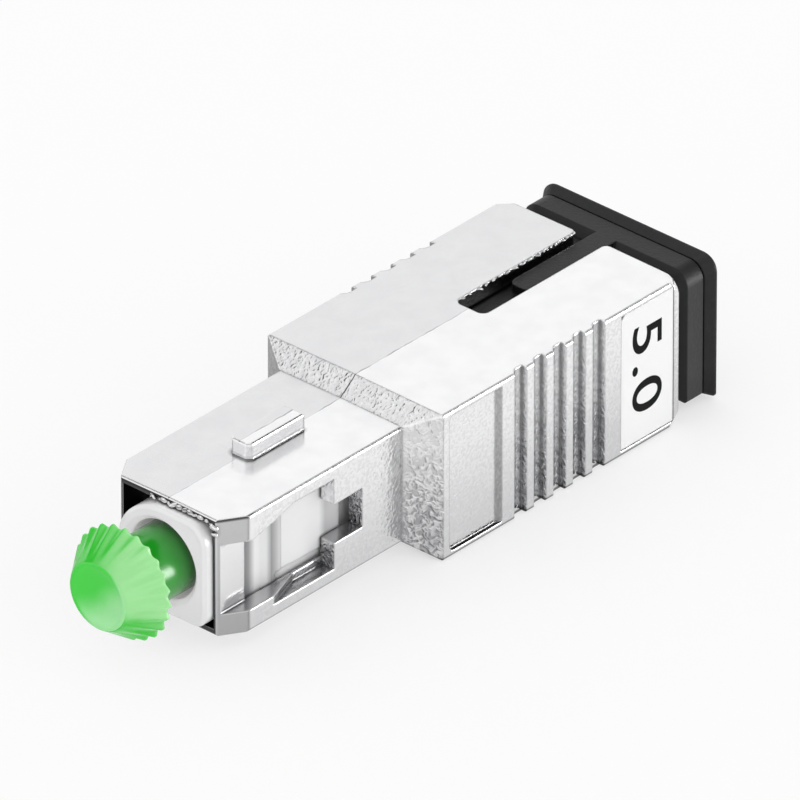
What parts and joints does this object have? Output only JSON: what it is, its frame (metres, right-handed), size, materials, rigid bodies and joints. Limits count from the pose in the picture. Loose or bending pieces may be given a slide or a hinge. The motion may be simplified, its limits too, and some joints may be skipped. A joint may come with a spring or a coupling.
{
  "type": "fibre attenuator",
  "caption": "Plug-to-receptacle fixed fibre attenuator in a die-cast shell with a key, keyway slot, side windows, grip grooves, a capped angled ferrule and a dust plug.",
  "frame": {"origin": "on the optical axis at the shell's front face, at the plug end", "axes": "+X along the optical axis towards the receptacle end, +Z towards the key, label on the -Y side"},
  "size_m": [0.0437, 0.013, 0.0094],
  "materials": {
    "plated_casting": "satin",
    "label_film": "matte",
    "white_moulding": "semi-gloss",
    "ceramic": "polished",
    "glass_fibre": "polished",
    "turned_steel": "turned",
    "spring_wire": "drawn",
    "holder_moulding": "matte",
    "green_cap": "soft sheen",
    "black_plug": "matte"
  },
  "bodies": {
    "shell": {"housing": "plated_casting", "value_label": "label_film"},
    "inner_assembly": {"plug_frame": "white_moulding", "spring_stop": "turned_steel", "front_sleeve_holder": "holder_moulding", "latch_insert": "holder_moulding", "split_sleeve": "ceramic", "ferrule_spring": "spring_wire"},
    "ferrule_unit": {"ferrule": "ceramic", "attenuating_fibre": "glass_fibre", "ferrule_flange": "turned_steel"},
    "cap": {"ferrule_cap": "green_cap"},
    "dust_plug": {"port_plug": "black_plug"}
  },
  "joints": [
    {"name": "push_pull_slide", "type": "slide", "parent": "shell", "child": "inner_assembly", "axis": [-1, 0, 0], "range_m": [0, 0.0016]},
    {"name": "ferrule_float", "type": "slide", "parent": "inner_assembly", "child": "ferrule_unit", "axis": [1, 0, 0], "range_m": [0, 0.0008], "stiffness_N_per_m": 4500, "deforming": ["ferrule_spring"]},
    {"name": "cap_pull_off", "type": "slide", "parent": "ferrule_unit", "child": "cap", "axis": [-1, 0, 0], "range_m": [0, 0.0065]},
    {"name": "dust_plug_pull_out", "type": "slide", "parent": "shell", "child": "dust_plug", "axis": [1, 0, 0], "range_m": [0, 0.0115]}
  ]
}
